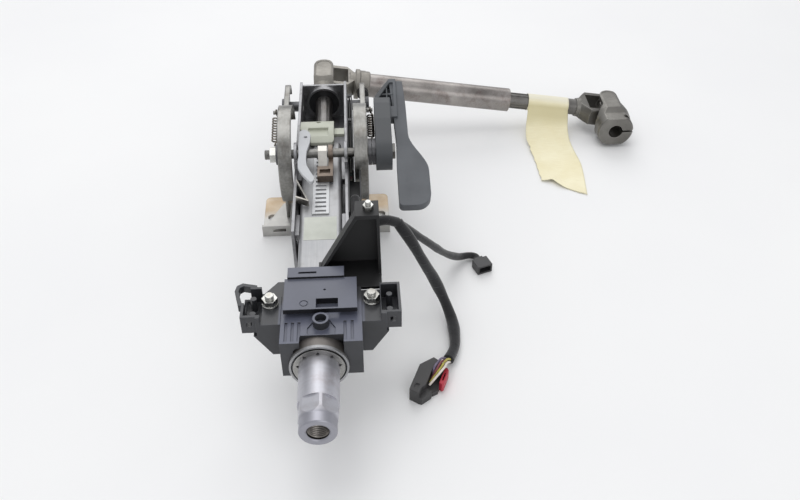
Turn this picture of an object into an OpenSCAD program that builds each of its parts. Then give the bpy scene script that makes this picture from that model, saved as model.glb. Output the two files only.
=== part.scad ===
// Adjustable steering column lying on its mounting bracket, all sizes in millimetres.
// X runs to the right, Y from the wheel end to the rear, Z up from the mounting face.

/* [Bracket] */
// Width over both feet
foot_w = 120; // [112:1:128]
// Depth of the feet
foot_d = 57; // [54:1:62]
// Distance of the fixing holes from the ends of the feet
bolt_inset = 8; // [7:0.5:9]
// Radius of the fixing holes
bolt_hole_r = 4.5; // [4:0.1:5]
// Thickness of the pressed sheets
sheet_t = 2.5; // [2:0.1:2.8]
// Height of the steering axis over the mounting face
axis_z = 66; // [62:1:70]

/* [Column] */
// Width of the reach tube
tube_w = 34; // [33:0.5:35]
// Wall of the reach tube
tube_wall = 2; // [1.6:0.1:2.4]
// Length of wheel shaft in front of the bearing
wheel_reach = 56; // [50:1:62]
// Radius of the wheel shaft
wheel_r = 14.35; // [14:0.05:14.6]
// Radius of the wheel seat
seat_r = 12.8; // [12.4:0.1:13.2]
// Bore radius of the wheel bolt thread
thread_r = 7.25; // [6.5:0.05:7.5]

/* [Clamp] */
// Radius of the clamp bolt
clamp_r = 4; // [3.8:0.05:4.2]
// Tilt travel in degrees
tilt_deg = 3.5; // [2.5:0.25:3.5]
// Length of the lever in front of the bolt
lever_front = 63.5; // [58:0.5:66]
// Length of the lever behind the bolt
lever_back = 74; // [70:1:78]

/* [Intermediate shaft] */
// Distance between the two joint centres
inter_len = 310.6; // [304:0.2:318]
// Radius of the outer tube
inter_r = 12.3; // [11.8:0.1:12.6]
// Radius of the sliding shaft
spline_r = 8.5; // [8:0.1:8.8]
// Bore radius of the rack clamp
rack_r = 7.4; // [7:0.1:7.8]
// Turn of the rack clamp against the shaft
rack_turn = 90; // [84:1:94]

/* [Harness] */
// Radius of the taped trunk
trunk_r = 3.9; // [3.4:0.1:4]
// Radius of the thick branch
branch_r = 4.6; // [4:0.1:5]
// Radius of the thin branch
thin_r = 3.3; // [3:0.1:3.6]

/* [Hidden] */
$fn = 48;

// running gap of turning and sliding pieces
run = 0.05;
// gap between pieces that pass each other
pass = 0.3;
foot_t = 3;
foot_y0 = -25;
foot_y1 = foot_y0 + foot_d;
bolt_spacing = foot_w - 2 * bolt_inset;
lip_h = 12;

// channel and plates across the axis
half_tube = tube_w / 2;
chan_in = half_tube + 3.5;
chan_out = chan_in + sheet_t;
web_l = chan_out + 14;
web_r = chan_out + 18;
plate_r = 43.5;
plate_t0 = 10;
plate_y0 = -12;
plate_y1 = 30;
rim_d = 12;
arm_d = 5;

// clamp bolt and tilt pivot in the side view, heights over the axis
bolt_y = -28;
bolt_t = 28;
pivot_y = 92;
pivot_t = 4;
pivot_r = 5;
clip_t = bolt_t + clamp_r;
slot_len = sqrt(pow(bolt_y - pivot_y, 2) + pow(bolt_t - pivot_t, 2));
slot_a = 180 - atan((bolt_t - pivot_t) / (pivot_y - bolt_y));

// column along the axis
ring_y = -252;
wheel_y = ring_y - wheel_reach;
head_r = 21;
seat_bore = 19.5;
rear_y = 112;
inner_r = 8.33;
ladder_t = 1.2;
top_t = half_tube;

// joints
ear_in = 14;
ear_out = 19.5;
pin_r = 5;
cup_r = 7.5;
throat = 24;
joint_y = 149.6;
joint_z2 = ear_out;
drop = axis_z - joint_z2;
fall = asin(drop / inter_len);
joint_x2 = inter_len * cos(fall);
fork_seat = throat + 3;
shoulder_r = 10.5;

// tube clamp and rack clamp, measured from their joint centres
cross_bolt_x = 40;
boss_y = 15.5;
clamp_end = 47;
tube_bore_x = 52;
rack_face = 44;
rack_ear = 9.3;
rack_out = 19;
rack_half_h = 15.6;
pinch_r = 3.7;
pinch_x = rack_face - 6;
pinch_y = rack_r + pinch_r + 0.9;

// lever, measured in its own leaning frame
lean = 18.7;
lever_x0 = web_r + 7;
lever_x1 = lever_x0 + 14;
paddle_x0 = lever_x1 + 4.5;
arm_end = lever_back - 20;

module box(x0, x1, y0, y1, z0, z1) {
  translate([x0, y0, z0]) cube([x1 - x0, y1 - y0, z1 - z0]);
}

module rod_x(r, x0, x1) {
  translate([x0, 0, 0]) rotate([0, 90, 0]) cylinder(r = r, h = x1 - x0);
}

module rod_y(r, y0, y1) {
  translate([0, y1, 0]) rotate([90, 0, 0]) cylinder(r = r, h = y1 - y0);
}

module rod_z(r, z0, z1) {
  translate([0, 0, z0]) cylinder(r = r, h = z1 - z0);
}

module hex_z(af, z0, z1) {
  translate([0, 0, z0]) linear_extrude(z1 - z0) polygon(hex_points(af));
}

function hex_points(af) = [for (i = [0 : 5]) af / sqrt(3) * [cos(60 * i), sin(60 * i)]];

// side view profile, drawn in Y and Z, carried along X
module side(x0, x1) {
  translate([x0, 0, 0]) rotate([90, 0, 90]) linear_extrude(x1 - x0) children();
}

// end view profile, drawn in X and Z, carried along Y
module front(y0, y1) {
  translate([0, y1, 0]) rotate([90, 0, 0]) linear_extrude(y1 - y0) children();
}

module soft_square(w, h, r) {
  square([w - 2 * r, h], center = true);
  square([w, h - 2 * r], center = true);
  for (sx = [-1, 1]) {
    for (sy = [-1, 1]) {
      translate([sx * (w / 2 - r), sy * (h / 2 - r)]) circle(r);
    }
  }
}

module on_axis() {
  translate([0, 0, axis_z]) children();
}

module at_bolt() {
  translate([0, bolt_y, axis_z + bolt_t]) children();
}

// directions along a swept path
function unit(v) = v / norm(v);
function path_dir(p, i) = unit(p[min(i + 1, len(p) - 1)] - p[max(i - 1, 0)]);
function path_side(d) = unit(cross(d, abs(d[2]) > 0.9 ? [1, 0, 0] : [0, 0, 1]));
function ring_at(p, i, r, n) =
  let (d = path_dir(p, i), a = path_side(d), b = cross(d, a))
  [for (k = [0 : n - 1]) p[i] + r * (cos(360 * k / n) * a + sin(360 * k / n) * b)];

// tube along a list of points
module sweep(p, r, n) {
  m = len(p);
  pts = [for (i = [0 : m - 1]) each ring_at(p, i, r, n)];
  walls = [for (i = [0 : m - 2]) for (k = [0 : n - 1]) each
    let (a = i * n + k, b = i * n + (k + 1) % n) [[a, b, a + n], [b, b + n, a + n]]];
  start = [for (k = [n - 1 : -1 : 0]) k];
  finish = [for (k = [0 : n - 1]) (m - 1) * n + k];
  polyhedron(points = pts, faces = concat(walls, [start, finish]), convexity = 8);
}

// smooth points through a coarse route
function between(p, i, t) =
  let (a = p[max(i - 1, 0)], b = p[i], c = p[i + 1], d = p[min(i + 2, len(p) - 1)])
  0.5 * (2 * b + (c - a) * t + (2 * a - 5 * b + 4 * c - d) * t * t + (3 * b - a - 3 * c + d) * t * t * t);
function smooth(p, k) = concat(
  [for (i = [0 : len(p) - 2]) for (j = [0 : k - 1]) between(p, i, j / k)], [p[len(p) - 1]]);

// routes of the harness
trunk_x = chan_out + 5.6;
trunk_z = axis_z + 14.5;
trunk_route = [[trunk_x, -77, trunk_z], [trunk_x, -104, trunk_z], [trunk_x, -131, trunk_z + 3.5],
  [30.5, -138, 93], [39, -141, 103], [51, -140, 106], [61, -137, 101]];
thick_route = [[61, -137, 101], [71, -141, 86], [80, -141, 66], [90, -137, 42], [99, -140, 21],
  [105, -152, 8], [106, -168, 5.5], [104, -183, 5.5], [98, -196, 6.5]];
thin_route = [[61, -137, 101], [72, -130, 86], [89, -113, 58], [104, -93, 30], [118, -76, 10],
  [130, -69, 5], [135.4, -70.6, 4.8], [137.05, -74.9, 4.8]];
// wires into the large connector, in the connector's own frame
wire_routes = [
  [[24.15, -8.25, 8.3], [18, -5.6, 14.6], [12.5, -4.2, 15.4], [7.2, -3, 14.8], [5, -2.6, 9]],
  [[24.6, -10.7, 8.3], [18.6, -9.9, 14.2], [13, -8.8, 15.6], [7.2, -7.9, 15.4], [-3.5, -2.6, 8]],
  [[24.15, -8.25, 4.9], [19, -7.9, 11.2], [14, -6.6, 15.2], [7.2, -5.5, 15.2], [0.5, -2.6, 7.5]],
  [[24.6, -10.7, 4.9], [19.2, -11.4, 10.8], [14, -11, 15], [7.2, -10.2, 15.8], [-7.5, -3.4, 10]]];

// free edge of the tape flag, left and right points from the shaft to its end
flag_l = 222;
flag_r = inter_len - 50;
flag_zl = axis_z - flag_l * sin(fall);
flag_zr = axis_z - flag_r * sin(fall);
flag_xl = flag_l * cos(fall);
flag_xr = flag_r * cos(fall);
wrap_t = 0.5;
flag_t = 0.4;
flag_y = joint_y - spline_r - wrap_t - flag_t;
flag_rows = [
  [[flag_xl, flag_y, flag_zl], [flag_xr, flag_y, flag_zr]],
  [[flag_xl, flag_y - 5, flag_zl - 9], [flag_xr, flag_y - 5, flag_zr - 7]],
  [[flag_xl, flag_y - 13, flag_zl * 0.38], [flag_xr + 0.5, flag_y - 12, flag_zr * 0.38]],
  [[flag_xl, flag_y - 22, 4], [flag_xr + 1, flag_y - 20, 3.5]],
  [[flag_xl - 1, flag_y - 34, 1.2], [flag_xr + 1, flag_y - 34, 1.2]],
  [[flag_xl - 3, flag_y - 60, 1.2], [flag_xr + 1, flag_y - 72, 1.6]],
  [[flag_xl - 5, flag_y - 88, 1.2], [flag_xr + 0, flag_y - 116, 1.2]]];

// fixed bracket

module foot_side() {
  difference() {
    union() {
      box(30, foot_w / 2, foot_y0, foot_y0 + sheet_t, 0, lip_h);
      translate([0, 0, lip_h - sheet_t]) linear_extrude(sheet_t) polygon([
        [30, foot_y0], [foot_w / 2 - 3, foot_y0], [41, 10], [30, 10]]);
      box(30, 30 + sheet_t, foot_y0, 10, foot_t - 0.5, lip_h);
    }
    box(foot_w / 2 - 22, foot_w / 2 - 10, foot_y0 - 1, foot_y0 + sheet_t + 1, 5, 8.5);
  }
}

module mounting_bracket() {
  color("silver") difference() {
    union() {
      translate([0, (foot_y0 + foot_y1) / 2, 0]) linear_extrude(foot_t) soft_square(foot_w, foot_d, 5);
      foot_side();
      mirror([1, 0, 0]) foot_side();
    }
    for (s = [-1, 1]) {
      translate([s * bolt_spacing / 2, 0, 0]) rod_z(bolt_hole_r, -1, lip_h + 5);
    }
    box(-web_l, -web_l + sheet_t, plate_y0, plate_y1, foot_t, lip_h + 5);
    box(web_r - sheet_t, web_r, plate_y0, plate_y1, foot_t, lip_h + 5);
  }
}

module plate_outline() {
  translate([0, axis_z + plate_t0]) circle(plate_r);
  translate([plate_y0, foot_t]) square([plate_y1 - plate_y0, axis_z + plate_t0 - foot_t]);
  translate([20, axis_z - 8]) square([76, 32]);
  translate([96, axis_z + 8]) circle(16);
}

module plate_rim() {
  difference() {
    translate([0, axis_z + plate_t0]) circle(plate_r);
    translate([0, axis_z + plate_t0]) circle(plate_r - sheet_t);
    translate([plate_y0, foot_t - 50]) square([plate_y1 - plate_y0, axis_z + plate_t0 - foot_t + 50]);
    translate([30, axis_z - 8 - 40]) square([90, 40 + 32 - sheet_t]);
  }
}

module arm_rim() {
  difference() {
    translate([36, axis_z + 24 - sheet_t]) square([60, sheet_t]);
    translate([0, axis_z + plate_t0]) circle(plate_r - sheet_t);
  }
  difference() {
    translate([96, axis_z + 8]) circle(16);
    translate([96, axis_z + 8]) circle(16 - sheet_t);
    translate([60, axis_z - 20]) square([36, 60]);
    translate([60, axis_z - 20]) square([60, 28]);
  }
}

module tilt_slot() {
  a0 = slot_a + 0.25;
  a1 = slot_a - tilt_deg - 0.25;
  w = clamp_r + 0.4;
  translate([pivot_y, axis_z + pivot_t]) {
    for (a = [a0, a1]) {
      translate(slot_len * [cos(a), sin(a)]) circle(w);
    }
    difference() {
      circle(slot_len + w);
      circle(slot_len - w);
      polygon([[0, 0], 300 * [cos(a0), sin(a0)], [-300, -300], [300, -300], [300, 300], [0, 300],
        300 * [cos(a1), sin(a1)]]);
    }
  }
}

module side_web() {
  difference() {
    plate_outline();
    tilt_slot();
    translate([pivot_y, axis_z + pivot_t]) circle(pivot_r);
    translate([8, axis_z - 14]) circle(9);
    translate([62, axis_z + 8]) circle(8);
  }
}

module spring_post(x0, x1) {
  translate([0, 22, axis_z + 40]) rod_x(1.8, x0, x1);
}

module left_side_plate() {
  color("gainsboro") {
    side(-web_l, -web_l + sheet_t) side_web();
    side(-web_l, -web_l + rim_d) plate_rim();
    side(-web_l, -web_l + arm_d) arm_rim();
    spring_post(-web_l - 6, -web_l + 0.5);
  }
}

module right_side_plate() {
  color("gainsboro") {
    side(web_r - sheet_t, web_r) side_web();
    side(web_r - rim_d, web_r) plate_rim();
    side(web_r - arm_d, web_r) arm_rim();
    spring_post(web_r - 0.5, web_r + 6);
  }
}

module pivot_pins() {
  color("dimgray") translate([0, pivot_y, axis_z + pivot_t]) {
    rod_x(pivot_r, -web_l - 1, -chan_in - 0.4);
    rod_x(8, -web_l - 4, -web_l);
    rod_x(pivot_r, chan_in + 0.4, web_r + 1);
    rod_x(8, web_r, web_r + 4);
  }
}

// tension spring between the plate's post and the clamp bolt
function coil(x, c0, c1, turns, r) =
  let (u = unit(c1 - c0), v = [-u[1], u[0]], len = norm(c1 - c0), m = turns * 8)
  [for (i = [0 : m]) let (q = c0 + u * len * i / m, a = 45 * i)
    [x + r * cos(a), q[0] + v[0] * r * sin(a), q[1] + v[1] * r * sin(a)]];

module balance_spring(x, clear) {
  top = [22, axis_z + 40];
  low = [bolt_y, axis_z + bolt_t];
  u = unit(low - top);
  c0 = top + u * 7;
  c1 = low - u * (clear + 5);
  sweep(concat([concat([x], top + u * 2.7)], [concat([x], top + u * 4.5)], coil(x, c0, c1, 9, 2.6),
    [concat([x], low - u * (clear + 2.2))], [concat([x], low - u * clear)]), 0.6, 6);
}

module left_spring() {
  color("silver") balance_spring(-web_l - 3.5, 10.5);
}

module right_spring() {
  color("silver") balance_spring(web_r + 3.5, 13.5);
}

// tilting channel

module channel_wall() {
  translate([-125, -22]) square([rear_y + 125, 42]);
  translate([bolt_y - 14, 0]) square([28, bolt_t]);
  translate([bolt_y, bolt_t]) circle(10);
}

module channel_holes() {
  translate([bolt_y, bolt_t]) circle(clamp_r + 0.1);
  translate([pivot_y, pivot_t]) circle(pivot_r + run);
  translate([-90, -4]) soft_square(34, 14, 5);
  translate([30, -4]) soft_square(44, 14, 5);
}

module tilt_channel() {
  color("lightgray") on_axis() {
    side(-chan_out, -chan_in) difference() {
      channel_wall();
      channel_holes();
    }
    side(chan_in, chan_out) difference() {
      channel_wall();
      channel_holes();
    }
    difference() {
      box(-chan_out, chan_out, -125, rear_y, -22, -22 + sheet_t);
      for (y = [-70, -10, 50]) {
        translate([0, y, 0]) rod_z(7, -30, 0);
      }
    }
    difference() {
      box(-chan_out, chan_out, rear_y - sheet_t, rear_y, -22, 17);
      rod_y(15, rear_y - 20, rear_y + 5);
    }
    difference() {
      rod_y(17, rear_y - 9, rear_y);
      rod_y(15, rear_y - 20, rear_y + 5);
    }
    for (s = [-1, 1]) {
      for (y = [-120, -45]) {
        box(s > 0 ? half_tube + pass : -chan_in - 0.2, s > 0 ? chan_in + 0.2 : -half_tube - pass,
          y, y + 26, 6, 12);
        box(s * 9 - 3, s * 9 + 3, y, y + 26, -22 + sheet_t - 0.2, -half_tube - pass);
      }
    }
  }
}

module rear_bearing() {
  color("slategray") on_axis() difference() {
    rod_y(15, rear_y - 8, rear_y);
    rod_y(inner_r + run, rear_y - 20, rear_y + 5);
  }
}

module clamp_bolt() {
  color("silver") at_bolt() {
    rod_x(clamp_r, -web_l - 11.6, lever_x1 + 2.8);
    rotate([0, 90, 0]) hex_z(13, lever_x1 + pass, lever_x1 + 2.8);
  }
}

module clamp_nut() {
  color("silver") at_bolt() difference() {
    rotate([0, 90, 0]) hex_z(13, -web_l - 7, -web_l - 1.75);
    rod_x(clamp_r, -web_l - 20, 0);
  }
}

module thrust_washer() {
  color("gray") at_bolt() difference() {
    rod_x(9, -web_l - 1.75, -web_l - pass);
    rod_x(clamp_r, -web_l - 20, 0);
  }
}

module fixed_cam() {
  color("gray") at_bolt() difference() {
    rod_x(11.5, web_r + pass, web_r + 3.3);
    rod_x(clamp_r, 0, web_r + 20);
  }
}

module guide_block() {
  base = top_t + ladder_t + 1;
  color("honeydew") on_axis() {
    difference() {
      intersection() {
        translate([-4.1, 15.6, base]) linear_extrude(8.5) soft_square(30.5, 36, 3);
        translate([0, 15.6, base + 8.5 - 32]) rod_x(32, -30, 30);
      }
      translate([0, 0, base - 1]) linear_extrude(20)
        polygon([[-25, -8], [-25, 12], [-18.8, 12], [-9.8, -2], [-9.8, -8]]);
      box(-12, 6, 4, 14, base + 6, 60);
      translate([-3, 26, 0]) rod_z(2.2, 0, 60);
    }
    box(-chan_in, -16, 16, 26, base, base + 3);
    box(10, chan_in, 11, 21, base, base + 3);
  }
}

module lock_arm() {
  color("gainsboro") on_axis() translate([-chan_in, bolt_y, 0]) difference() {
    union() {
      side(5, 8) translate([0, bolt_t]) circle(8);
      translate([0, 0, bolt_t + clamp_r + 1.5]) linear_extrude(2.6) polygon([[1.5, 23], [4, 26], [7, 26.2],
        [10.5, 22], [11.7, 17], [11.1, 5], [8.7, -8], [8.5, -20], [9.3, -29], [12.5, -38], [15.7, -46],
        [15.9, -50], [14.7, -53], [12.5, -52.8], [9.5, -48], [5.5, -41], [1.9, -32], [1.5, -24], [2.1, -15],
        [1.3, 3]]);
    }
    translate([0, 0, bolt_t]) rod_x(clamp_r + 0.1, -10, 30);
    translate([7.3, 14, 0]) rod_z(1.6, 0, 80);
  }
}

module spring_clip() {
  color("silver") on_axis() side(-2.5, 5.5) polygon([
    [bolt_y - 13, 21], [bolt_y - 4, clip_t + 1.2], [bolt_y + 4, clip_t + 1.2], [bolt_y + 14, 21],
    [bolt_y + 12.7, 21], [bolt_y + 3.4, clip_t], [bolt_y - 3.4, clip_t], [bolt_y - 11.8, 21]]);
}

module crash_strap() {
  color("silver") on_axis() translate([0, 0, top_t + 1.6]) linear_extrude(6) polygon([
    [-chan_in, -60], [-chan_in, -62], [-11.5, -89], [-chan_in, -84], [-chan_in, -85.5], [-9.6, -92],
    [-9.2, -91]]);
}

module duct_shell(x1, y0, y1) {
  difference() {
    box(chan_out, x1, y0, y1, 8, 22);
    box(chan_out + 1.2, x1 - 1.2, y0 - 1, y1 + 1, 9.2, 30);
  }
}

module wire_duct() {
  color("black") on_axis() {
    difference() {
      duct_shell(chan_out + 11, -105, -46);
      for (y = [-98, -84, -70]) {
        box(chan_out + 5, chan_out + 20, y, y + 8, 13, 18);
      }
    }
    difference() {
      duct_shell(chan_out + 5.3, -46.5, 84);
      for (y = [-30, 0, 30, 58]) {
        box(chan_out + 3, chan_out + 20, y, y + 16, 12, 19);
      }
    }
    for (y = [-20, 34, 78]) {
      box(chan_out, chan_out + 5.3, y, y + 4, 20.7, 22);
    }
  }
}

module duct_wires() {
  color("white") on_axis() for (i = [0 : 3]) {
    translate([chan_out + 2.65, 0, 10.5 + 2.4 * i]) rod_y(0.95, -45, 83);
  }
}

// lever and pawl

// outer edge of the paddle where the stem widens to the grip
function grip_edge(n) = [for (i = [0 : n]) let (t = i / n)
  [paddle_x0 + 10.2 + 15.7 * t * t * (3 - 2 * t), 12 - 40 * t]];

module paddle_plan() {
  tip = -lever_front;
  polygon(concat([[paddle_x0 - 4, lever_back], [paddle_x0 + 8.2, lever_back - 1.5], [paddle_x0 + 9.8, 45]],
    grip_edge(10), [[paddle_x0 + 25.9, tip + 12], [paddle_x0 + 13.9, tip], [paddle_x0 + 2.8, tip],
    [paddle_x0 - 1.2, tip + 4], [paddle_x0 - 1.2, -22], [paddle_x0 - 0.4, 5], [paddle_x0 - 2, 45]]));
  translate([paddle_x0 + 13.9, tip + 12]) circle(12);
  translate([paddle_x0 + 2.8, tip + 4]) circle(4);
}

module bridge_plan() {
  polygon([[lever_x0, arm_end - 10], [lever_x0 + 1, arm_end], [paddle_x0 - 4, lever_back],
    [paddle_x0 + 2, lever_back], [paddle_x0 + 2, arm_end - 24], [lever_x1 - 3, arm_end - 24]]);
}

module bridge_well() {
  polygon([[lever_x0 + 4.5, arm_end - 2], [paddle_x0 - 3.5, lever_back - 4],
    [paddle_x0 - 0.5, lever_back - 4], [paddle_x0 - 1, arm_end - 12],
    [lever_x1 + 0.8, arm_end - 12], [lever_x1 + 0.8, arm_end - 2]]);
}

module clamp_lever() {
  color("dimgray") at_bolt() rotate([lean, 0, 0]) difference() {
    union() {
      translate([0, 0, 0.5]) linear_extrude(8) paddle_plan();
      difference() {
        translate([0, 0, 0.5]) linear_extrude(10) bridge_plan();
        translate([0, 0, 3]) linear_extrude(20) bridge_well();
      }
      box(lever_x0 + 6, paddle_x0, arm_end + 3, arm_end + 4.2, 0.5, 9);
      box(lever_x0 + 11.5, lever_x0 + 12.7, arm_end - 4, lever_back - 4, 0.5, 9);
      rod_x(16.5, lever_x0, lever_x1);
      side(lever_x0, lever_x1) polygon([[-3, -16.2], [arm_end - 4, -2], [arm_end, 5], [arm_end - 2, 11],
        [arm_end - 10, 13.5], [24, 16.2], [0, 16.5]]);
    }
    rod_x(clamp_r + run, lever_x0 - 1, lever_x1 + 1);
  }
}

module moving_cam() {
  color("gray") at_bolt() difference() {
    rod_x(11.5, web_r + 3.6, lever_x0);
    rod_x(clamp_r + run, 0, web_r + 30);
  }
}

module lock_pawl() {
  color("peru") on_axis() {
    difference() {
      union() {
        translate([0, bolt_y, bolt_t]) rod_x(7.5, 6.5, 10.5);
        side(6.5, 10.5) polygon([[bolt_y - 7, bolt_t - 2], [bolt_y + 2, bolt_t - 7], [-43, 19.5],
          [-56, 19.5], [-56, 25]]);
        box(-3, 10.5, -58, -43.5, top_t + ladder_t + 0.5, 25);
      }
      translate([0, bolt_y, bolt_t]) rod_x(clamp_r + run, 0, 20);
      box(-1, 8, -54, -48, 23, 30);
    }
  }
}

// reach tube and what it carries

module column_tube() {
  color("darkgray") on_axis() difference() {
    union() {
      front(-205, 5) soft_square(tube_w, tube_w, 3.5);
      rod_y(head_r, ring_y, -200);
    }
    front(-198, 20) soft_square(tube_w - 2 * tube_wall, tube_w - 2 * tube_wall, 2);
    rod_y(seat_bore, ring_y - 1, ring_y + 14);
    rod_y(15, ring_y - 1, -190);
  }
}

module ladder_strip() {
  color("lightgray") on_axis() difference() {
    box(-7, 7, -101, 3, top_t, top_t + ladder_t);
    for (i = [0 : 16]) {
      box(-4.4, 4.4, -98.5 + 5.8 * i, -96.1 + 5.8 * i, top_t - 1, top_t + ladder_t + 1);
    }
  }
}

module label() {
  color("ivory") on_axis() box(-half_tube + 3.8, half_tube - 3.8, -133, -104, top_t, top_t + 0.15);
}

module front_bearing() {
  color("black") on_axis() difference() {
    rod_y(seat_bore, ring_y + 1.5, ring_y + 12);
    rod_y(wheel_r + run, ring_y, ring_y + 20);
  }
}

module wing(x0, x1, s) {
  difference() {
    box(x0, x1, -228, -196, 9, 27);
    box(s > 0 ? x1 - 14 : x0 + 2, s > 0 ? x1 - 2 : x0 + 14, -224.6, -198, 13.5, 40);
    box(s > 0 ? x1 - 10.5 : x0 - 1, s > 0 ? x1 + 1 : x0 + 10.5, -229, -226.6, 0, 40);
    box(s > 0 ? x1 - 10.5 : x0 - 1, s > 0 ? x1 + 1 : x0 + 10.5, -229, -190, 0, 11.5);
    box(s > 0 ? x0 - 1 : x1 - 14, s > 0 ? x0 + 14 : x1 + 1, -229, -190, 20, 40);
    box(s > 0 ? x1 - 8 : x0 + 4, s > 0 ? x1 - 4 : x0 + 8, -230, -224, 17, 22);
  }
  translate([s > 0 ? x1 - 8 : x0 + 8, -206, 0]) rod_z(2.2, 12, 25);
  translate([s > 0 ? x1 - 8 : x0 + 8, -219, 0]) rod_z(2.2, 12, 23);
}

module switch_carrier() {
  color("darkslategray") on_axis() {
    difference() {
      union() {
        box(-26, 31, -249, -195, -10, 22.5);
        front(-228, -212) polygon([[-46, 9.5], [-34, -10], [-25.5, -10], [-25.5, 9.5]]);
        front(-228, -212) polygon([[50, 9.5], [38, -10], [30, -10], [30, 9.5]]);
        translate([0, 0, 12]) linear_extrude(8)
          polygon([[-40, -197], [-30, -184], [-23, -184], [-23, -200], [-40, -200]]);
      }
      rod_y(head_r, -300, -150);
      box(-18.5, 18.5, -300, -150, -40, 10);
      box(-12.5, 18, -250, -242, -20, 30);
      front(-300, -150) soft_square(tube_w + 0.2, tube_w + 0.2, 3.5);
      translate([2.3, -231, head_r + 0.5]) linear_extrude(9)
        polygon([[-9.5, -10], [10, -10], [10, -4], [6, 3], [-5, 3], [-9.5, -4]]);
      translate([2.3, -231, head_r + 0.5]) rod_z(5, 0, 9);
      for (x = [-23, -18.5, -14, 18, 23]) {
        box(x, x + 2, -247, -229, 21.3, 30);
      }
    }
    translate([2.3, -231, 0]) difference() {
      rod_z(5.75, head_r + 0.2, 28);
      rod_z(4, 22, 40);
    }
    difference() {
      wing(-54, -26.5, -1);
      box(-55, -48.6, -212, -190, 15, 40);
    }
    translate([0, 0, 20.5]) linear_extrude(6) polygon([[-44, -193.6], [-54.5, -190.8], [-58.6, -193.4],
      [-59.8, -199], [-58, -206.5], [-56.3, -214], [-53, -214], [-55.3, -206], [-57, -199.5],
      [-56.4, -195.6], [-53.8, -193.9], [-44, -196.6]]);
    wing(30.5, 59, 1);
  }
}

module carrier_lid() {
  color("slategray") on_axis() difference() {
    union() {
      box(-24, 28, -224, -192, 26, 30);
      box(-22, 26, -219, -192, 22.5, 26.2);
      box(-22, 19, -192.5, -182, 24, 32);
    }
    box(-1, 14.5, -222.6, -213.5, 24.5, 40);
    translate([-9.6, -218, 0]) difference() {
      rod_z(3.1, 29.4, 40);
      rod_z(2.4, 20, 50);
    }
    translate([5, -204.5, 0]) rod_z(0.9, 29, 40);
    box(-14, -1, -189, -187, 30.6, 40);
  }
}

module carrier_nuts() {
  color("silver") on_axis() for (x = [-34.5, 38.4]) {
    translate([x, -207, 0]) {
      rod_z(5.9, 20, 21.2);
      hex_z(10, 21, 26);
      rod_z(3, 25, 29);
    }
  }
}

module harness_tower() {
  color("black") on_axis() {
    intersection() {
      translate([0, -182, 20]) rotate([-20, 0, 0]) difference() {
        front(0, 17) polygon([[-0.6, -6], [46.8, -6], [46, 60], [29, 60], [28, 47], [-0.6, 3]]);
        front(-3, 15) polygon([[4, -8], [44.8, -8], [44, 45], [31, 45], [29.6, 45], [1.6, 3]]);
      }
      box(-5, 60, -200, -100, 20, 65);
    }
    box(0, 46.5, -195, -166, 19.8, 22.4);
  }
}

module tower_nut() {
  color("silver") on_axis() translate([38.3, -157.5, 0]) {
    hex_z(7, 65, 69);
    rod_z(2, 68.9, 72);
  }
}

module harness_trunk() {
  color("black") sweep(smooth(trunk_route, 2), trunk_r, 10);
}

module thick_branch() {
  color("black") sweep(smooth(thick_route, 2), branch_r, 10);
}

module thin_branch() {
  color("black") sweep(smooth(thin_route, 2), thin_r, 8);
}

module connector_frame() {
  translate([80, -216, 0]) rotate([0, 0, 68]) children();
}

module large_connector() {
  color("black") connector_frame() difference() {
    union() {
      linear_extrude(13) polygon([[-18, 9.2], [8, 9.2], [18.5, 1], [14, -10], [7.5, -10], [7.5, -1.5],
        [-10, -1.5], [-14, 0.8], [-20, 0.8]]);
      linear_extrude(4) polygon([[-10, 0], [8, 0], [8, -10], [-6, -10], [-9.5, -7]]);
      linear_extrude(7) polygon([[-20, 2], [-9, 0], [-9.3, -6.4], [-12, -6.4], [-20, -1.5]]);
    }
    box(-15, 5, 2, 20, 2.5, 10.5);
    box(-15.5, -11, 3, 6.5, 12, 20);
  }
}

module connector_lock() {
  color("red") connector_frame() difference() {
    translate([0, 0, 2]) linear_extrude(8.5) polygon([[-4, -12.6], [-2.5, -13.6], [11, -13.6], [13, -12],
      [13.5, -10], [-3, -10]]);
    box(0, 8, -12.4, -11.2, 6, 20);
  }
}

module connector_wires() {
  color("white") connector_frame() for (route = wire_routes) {
    sweep(smooth(route, 3), 0.9, 6);
  }
}

module small_connector() {
  color("black") translate([140, -83, 0]) rotate([0, 0, 20]) difference() {
    union() {
      box(-7, 7, -6, 6, 0.4, 9);
      box(-4, 4, 5, 8.5, 1.6, 8);
    }
    box(-5.5, 5.5, -8, 1, 2, 7.4);
  }
}

// turning shafts

module wheel_shaft() {
  color("silver") on_axis() difference() {
    union() {
      rotate([90, 0, 0]) rotate_extrude() polygon([[0, -wheel_y], [seat_r - 0.8, -wheel_y],
        [seat_r, -wheel_y - 0.8], [seat_r, -wheel_y - 14], [0, -wheel_y - 14]]);
      intersection() {
        rotate([90, 0, 0]) rotate_extrude() polygon([[0, -wheel_y - 8], [seat_r, -wheel_y - 8],
          [wheel_r, -wheel_y - 12], [wheel_r, -wheel_y - 23], [0, -wheel_y - 23]]);
        front(wheel_y + 5, wheel_y + 30) rotate(20) polygon(hex_points(2 * seat_r + 0.2));
      }
      rod_y(wheel_r, wheel_y + 22, -226);
      rod_y(11, -226.5, 8);
    }
    rod_y(thread_r, wheel_y - 1, wheel_y + 24);
    rotate([90, 0, 0]) rotate_extrude() polygon([[0, -wheel_y + 1], [thread_r + 2.2, -wheel_y + 1],
      [thread_r - 0.3, -wheel_y - 1.5], [0, -wheel_y - 1.5]]);
    rod_y(inner_r + run, -224, 20);
  }
}

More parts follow.
